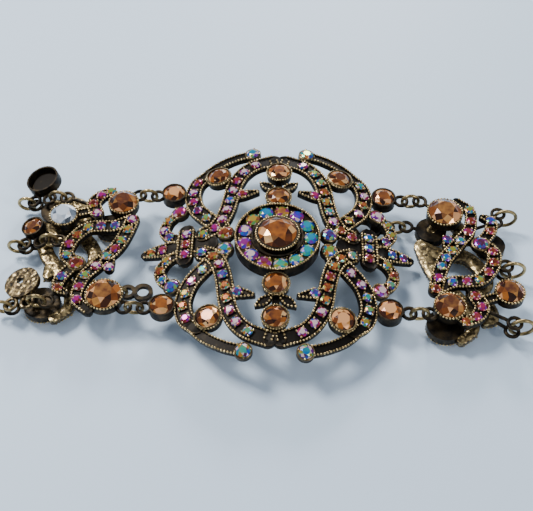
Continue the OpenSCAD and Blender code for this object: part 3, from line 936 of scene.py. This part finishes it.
@dataclass
class Plaque:
    """The domed centre plaque with its scrolls, medallion and stones."""

    crown: float = 8.8
    bend_radius: float = 59.0
    cross_radius: float = 180.0
    ribbon: float = 3.3
    scroll: float = 2.2
    topaz: float = 2.1
    accent: float = 1.35
    wall: float = 0.3
    medal: float = 8.1
    centre_stone: float = 3.6
    main: tuple[Point, ...] = ((1.2, 21.4), (4.8, 20), (7, 18), (8.3, 15.6), (9, 13), (9.4, 10.3),
                               (9.9, 7.8), (10.7, 5.4), (12, 3.4), (14.2, 2.2))
    loop: tuple[Point, ...] = ((14.2, 18.2), (16.2, 16.4), (17, 13.7), (16.7, 11.1), (15.7, 8.6),
                               (13.8, 6.3), (12, 4.4))
    rim: tuple[Point, ...] = ((15.4, 17.8), (12.6, 20.6), (9, 22.6), (5.6, 23.6))
    curl: tuple[Point, ...] = ((19.4, 9), (21.4, 7.2), (22.1, 4.9), (20.9, 2.9), (18.8, 1.8))
    branch: tuple[Point, ...] = ((9, 11.8), (7.1, 11.8), (4.2, 12.4))
    leaf: tuple[Point, ...] = ((0.6, 12.6), (2.2, 13.8), (3.6, 14.8))
    loop_topaz: Point = (12, 16.9)
    axis_topaz: tuple[Point, ...] = ((0, 17.4), (0, 10.4))
    accents: tuple[Point, ...] = ((5.5, 23.7), (19.4, 9), (9.8, 1.9))
    cup_foot: float = -1.1
    topaz_lip: float = 0.9
    accent_lip: float = 0.12

    def bend(self, sx: float, sy: float) -> Place:
        """Gives the rule that bends a flat quarter onto the dome.

        Args:
            sx: 1 or -1, the quarter's side along X.
            sy: 1 or -1, its side along Y.

        Returns:
            The rule, from flat points to the bracelet's frame.
        """
        def place(points: np.ndarray) -> np.ndarray:
            """Bends points onto the dome.

            Args:
                points: The points in millimetres, one row each.

            Returns:
                The bent points.
            """
            x, y, z = points[:, 0] * sx, points[:, 1] * sy, points[:, 2]
            girth = self.bend_radius - y ** 2 / (2 * self.cross_radius)
            lean = np.arcsin(np.clip(x / girth, -1, 1))
            slope = y / self.cross_radius
            top = self.crown - self.bend_radius + girth * np.cos(lean)
            return np.column_stack([x + z * np.sin(lean) + SHIFT, y + z * slope,
                                    top + z * np.cos(lean)])
        return place

    def ribbons(self) -> list[tuple[Ribbon, float]]:
        """Lists one quarter's scrolls.

        Returns:
            Each scroll and how far it stands proud.
        """
        return [
            (Ribbon(self.main, self.ribbon), 0.0),
            (Ribbon(self.loop, self.ribbon), 0.0),
            (Ribbon(self.rim, self.scroll), -0.03),
            (Ribbon(self.curl, self.scroll), -0.03),
            (Ribbon(self.branch, 2.4, 0.9, 2.4), -0.05),
            (Ribbon((self.axis_topaz[0], self.main[0]), 1.8), -0.1),
            (Ribbon((self.axis_topaz[0], self.axis_topaz[1]), 1.4, beaded=False), -0.2),
            (Ribbon((self.accents[2], self.main[7]), self.scroll), -0.08),
            (Ribbon(self.leaf, 2.0, 0.5, 0.5), 0.0),
        ]

    def knot(self) -> list[tuple[Ribbon, float]]:
        """Lists one end's knot: its point, the band behind it and the wrap over both.

        Returns:
            Each scroll and how far it stands proud.
        """
        return [
            (Ribbon(((18.6, 0), (22.4, 0), (25.6, 0)), 3.2, 1.6, 3.2), 0.0),
            (Ribbon(((13.2, 0), (18.6, 0)), 4.0), -0.05),
            (Ribbon(((17.4, 3.2), (17.4, 0), (17.4, -3.2)), 3.2), 0.4),
        ]

    def build_casting(self, shop: Workshop) -> None:
        """Builds the scrolls and their beads.

        Args:
            shop: The shared workshop.
        """
        casting = Casting("plaque_scrolls", "plaque")
        for sx in (1, -1):
            for sy in (1, -1):
                place = self.bend(sx, sy)
                for ribbon, lift in self.ribbons():
                    casting.sweep(ribbon, place, Face.STONES, lift)
                for at in (self.loop_topaz, *self.axis_topaz):
                    casting.collet(at, self.topaz, self.wall, self.cup_foot, self.topaz_lip, place)
                for at in self.accents:
                    casting.collet(at, self.accent, self.wall, self.cup_foot, self.accent_lip,
                                   place, sides=20)
            for ribbon, lift in self.knot():
                casting.sweep(ribbon, self.bend(sx, 1), Face.STONES, lift)
        piece = casting.build(shop.finishes.scroll)
        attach(piece, "plaque")
        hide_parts("plaque_casting")
        shop.string_beads("plaque_edge_beads", "plaque", casting.edges, casting.bead_mm,
                          casting.bead_pitch)
        LOG.info("plaque_scrolls: %d faces", len(piece.data.polygons))

    def build_rings(self, shop: Workshop) -> None:
        """Builds the beaded lips of the cups and the medallion.

        Args:
            shop: The shared workshop.
        """
        lines = []
        for sx in (1, -1):
            for sy in (1, -1):
                place = self.bend(sx, sy)
                for at in (self.loop_topaz, *self.axis_topaz):
                    lines.append(circle(at, self.topaz + self.wall + 0.02, 0.55, place))

        def level(points: np.ndarray) -> np.ndarray:
            """Moves points to the medallion's middle.

            Args:
                points: The points in millimetres, one row each.

            Returns:
                The moved points.
            """
            return points + np.array([SHIFT, 0, self.crown])

        for radius, z in ((self.medal - 0.2, 1.1), (self.centre_stone + 0.45, 1.85),
                          (self.centre_stone + 1.15, 0.35)):
            lines.append(circle((0, 0), radius, z, level))
        shop.string_beads("plaque_cup_beads", "plaque", lines, 0.23, 0.5)

    def build(self, shop: Workshop) -> None:
        """Builds and dresses the whole plaque.

        Args:
            shop: The shared workshop.
        """
        made = shop.finishes
        self.build_casting(shop)
        self.build_rings(shop)
        shop.set_prongs("plaque_prongs", "plaque",
                        ["plaque_pave_stones", "plaque_accent_stones", "medallion_stones"])
        shop.set_stones("plaque_aurora_stones", "plaque",
                        ["plaque_pave_stones", "plaque_accent_stones"], made.aurora,
                        3)
        shop.set_stones("medallion_ring_stones", "plaque", ["medallion_stones"], made.cool,
                        5)
        shop.set_stones("plaque_topaz", "plaque", ["plaque_topaz_stones", "centre_stone"],
                        made.topaz, 7)
        shop.dress({"medallion": made.cup, "plaque_link_cups": made.cup})


# ---- side panels -----------------------------------------------------------


@dataclass
class SidePanel:
    """One side panel: the same casting, upright, turned half round, or lying on its stones."""

    name: str
    body: str
    at: Point
    half_turn: bool = False
    face: Face = Face.STONES
    clear: str = ""
    upper_back: float = 4.45
    lower_back: float = 3.0
    thickness: float = 1.2
    width: float = 2.8
    s_scroll: tuple[Point, ...] = ((6, 6.2), (5.4, 3.6), (4.5, 0.9), (3.5, -1.2), (2.1, -3),
                                   (0.4, -5.4), (-1.3, -7.6), (-2.1, -10.3), (-2.1, -13.2),
                                   (0.2, -15.4))
    eye_scroll: tuple[Point, ...] = ((-3.4, -4.8), (-5.5, -2.9), (-5.4, -0.3), (-4.2, 2),
                                     (-2.3, 3.9), (0.1, 4.3), (2.8, 4.5), (6, 6.2))
    hook: tuple[Point, ...] = ((-1.1, 7.6), (-2.1, 10), (-0.9, 12.2), (1, 13.3))
    spur: tuple[Point, ...] = ((2.1, -3), (2.9, -5.6))
    tail: tuple[Point, ...] = ((-3.4, -4.8), (-5.6, -8), (-6, -10.6), (-4.4, -11.6))
    neck: tuple[Point, ...] = ((0.1, 4.3), (-1.1, 7.6))
    edge_arm: tuple[Point, ...] = ((-1.8, 8.6), (-7.5, 6.7))
    cup_arm: tuple[Point, ...] = ((1, 13.3), (3.8, 10.2))
    cups: tuple[tuple[Point, float], ...] = (((2.85, -12.2), 3.5), ((3.8, 10.2), 3.0),
                                             ((-7.5, 6.7), 2.8))
    accent_at: Point = (-3.4, -4.8)
    accent: float = 1.38
    cup_height: float = 1.7
    lip_inset: float = 0.12

    def place(self, points: np.ndarray) -> np.ndarray:
        """Takes points whose face is z = 0 to their places in the bracelet, in millimetres.

        Args:
            points: The points, one row each.

        Returns:
            The placed points.
        """
        x, y, z = points[:, 0], points[:, 1], points[:, 2] + self.thickness
        if self.face is Face.BACK:
            x, z, base = -x, -z, self.lower_back
        elif self.half_turn:
            x, y, base = -x, -y, self.upper_back
        else:
            base = self.upper_back
        return np.column_stack([x + self.at[0] + SHIFT, y + self.at[1], z + base])

    def ribbons(self) -> list[tuple[Ribbon, float]]:
        """Lists the panel's scrolls.

        Returns:
            Each scroll and how far it stands proud.
        """
        w = self.width
        return [
            (Ribbon(self.s_scroll, w, 1.9, w), 0.0),
            (Ribbon(self.eye_scroll, w), 0.0),
            (Ribbon(self.hook, w, 2.0, w), 0.0),
            (Ribbon(self.spur, w, 2.0, w), 0.0),
            (Ribbon(self.tail, 2.4, 1.2, 2.4), 0.0),
            (Ribbon(self.neck, 1.6, beaded=False), -0.05),
            (Ribbon(self.edge_arm, 1.8), -0.05),
            (Ribbon(self.cup_arm, 2.0), -0.05),
        ]

    def build(self, shop: Workshop) -> None:
        """Builds and dresses the panel.

        Args:
            shop: The shared workshop.
        """
        made = shop.finishes
        pave, topaz, settings, casting = (f"{self.name}_{part}" for part in
                                          ("pave", "topaz", "settings", "casting"))
        scrolls = Casting(f"{self.name}_scrolls", self.body, thickness=self.thickness)
        for ribbon, lift in self.ribbons():
            scrolls.sweep(ribbon, self.place, self.face, lift)
        scrolls.collet(self.accent_at, self.accent, 0.4, -1.0, 0.12, self.place, sides=20)
        piece = scrolls.build(made.scroll if self.face is Face.STONES else made.back)
        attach(piece, self.body)
        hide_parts(casting)
        lips = [circle(at, radius - self.lip_inset, self.cup_height - self.thickness, self.place, 41)
                for at, radius in self.cups]
        shop.string_beads(f"{self.name}_beads", self.body, scrolls.edges + lips,
                          scrolls.bead_mm, scrolls.bead_pitch)
        shop.set_prongs(f"{self.name}_prongs", self.body, [pave])
        shop.set_stones(f"{self.name}_small_stones", self.body, [pave], made.aurora,
                        len(self.name) + 2)
        shop.set_stones(f"{self.name}_topaz", self.body, [topaz], made.topaz,
                        len(self.name) + 9)
        if self.clear:
            shop.set_stones(f"{self.name}_clear", self.body, [self.clear], made.clear,
                            4)
        shop.dress({settings: made.cup})
        LOG.info("%s: %d faces", piece.name, len(piece.data.polygons))


# ---- rings, connectors, clasp ----------------------------------------------


@dataclass
class Hardware:
    """Jump rings, the left connectors, the clasp and the tail tag."""

    rings: tuple[str, ...] = ("left_inner_rings", "left_middle_rings", "left_outer_rings",
                              "right_inner_rings", "right_outer_rings", "tail_ring", "clasp_ring")
    smooth: tuple[str, ...] = ("left_top_link", "left_middle_link", "clasp_body", "clasp_lever",
                               "clasp_pin", "tail_tag")

    def build(self, shop: Workshop) -> None:
        """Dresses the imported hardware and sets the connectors' stones.

        Args:
            shop: The shared workshop.
        """
        made = shop.finishes
        shop.dress({name: made.ring for name in self.rings}
                   | {name: made.cup for name in self.smooth}
                   | {"left_low_link": made.disc, "left_top_link_stone": made.scroll})
        shop.set_stones("left_link_stone", "left_links", ["left_middle_link_stone"], made.topaz,
                        21)


# ---- the room --------------------------------------------------------------


@dataclass
class Studio:
    """A plain pale floor, soft light and the camera."""

    camera_mm: Point3 = (3.8, -114.7, 150.7)
    look_mm: Point3 = (0.5, 2.9, 0.0)
    view_deg: float = 30.7
    floor_m: float = 3.0
    floor_colour: Colour = (0.62, 0.76, 0.9, 1)
    sky_colour: Colour = (0.8, 0.87, 1, 1)

    def light(self, name: str, place: Point3, energy: float, size: float) -> None:
        """Adds one soft light that faces the bracelet.

        Args:
            name: Its name.
            place: Its place in metres.
            energy: Its power in watts.
            size: Its width in metres.
        """
        lamp = bpy.data.lights.new(name, "AREA")
        lamp.energy, lamp.size = energy, size
        holder = bpy.data.objects.new(name, lamp)
        holder.location = place
        holder.rotation_euler = (-Vector(place)).to_track_quat("-Z", "Y").to_euler()
        bpy.context.scene.collection.objects.link(holder)

    def build(self) -> None:
        """Builds the floor, the lights and the camera."""
        half = self.floor_m / 2
        mesh = bpy.data.meshes.new("floor")
        mesh.from_pydata([(-half, -half, 0), (half, -half, 0), (half, half, 0), (-half, half, 0)],
                         [], [(0, 1, 2, 3)])
        pale = bpy.data.materials.new("pale_floor")
        pale.use_nodes = True
        fill(pale.node_tree.nodes["Principled BSDF"],
             {"Base Color": self.floor_colour, "Roughness": 0.55})
        new_object("floor", mesh, pale)
        world = bpy.data.worlds.new("studio")
        world.use_nodes = True
        fill(world.node_tree.nodes["Background"], {"Color": self.sky_colour, "Strength": 0.5})
        bpy.context.scene.world = world
        self.light("key", (-0.25, 0.18, 0.4), 2.6, 0.14)
        self.light("fill", (0.35, -0.3, 0.35), 0.9, 0.12)
        self.light("strip", (0.05, 0.45, 0.22), 1.4, 0.1)
        lens = bpy.data.cameras.new("camera")
        lens.sensor_width = 36.0
        lens.lens = lens.sensor_width / (2 * math.tan(math.radians(self.view_deg) / 2))
        lens.clip_start = 0.01
        camera = bpy.data.objects.new("camera", lens)
        camera.location = Vector(self.camera_mm) * MM
        aim = Vector(self.look_mm) * MM - camera.location
        camera.rotation_euler = aim.to_track_quat("-Z", "Y").to_euler()
        bpy.context.scene.collection.objects.link(camera)
        bpy.context.scene.camera = camera


def main() -> None:
    """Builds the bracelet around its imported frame."""
    logging.basicConfig(level=logging.INFO, format="%(message)s")
    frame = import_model()
    shop = Workshop(frame)
    Studio().build()
    Plaque().build(shop)
    for panel in (
        SidePanel("left_panel", "left_panel", (-34.4, 0.5), clear="left_panel_clear_stone"),
        SidePanel("right_panel", "right_panel", (35.5, -2.3), half_turn=True),
        SidePanel("lower_left", "lower_left_panel", (-40.7, 0.5), face=Face.BACK),
        SidePanel("lower_right", "lower_right_panel", (34.0, -2.3), face=Face.BACK),
    ):
        panel.build(shop)
    Hardware().build(shop)
    bpy.data.objects.remove(shop.cut)
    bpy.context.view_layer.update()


if __name__ == "__main__":
    main()
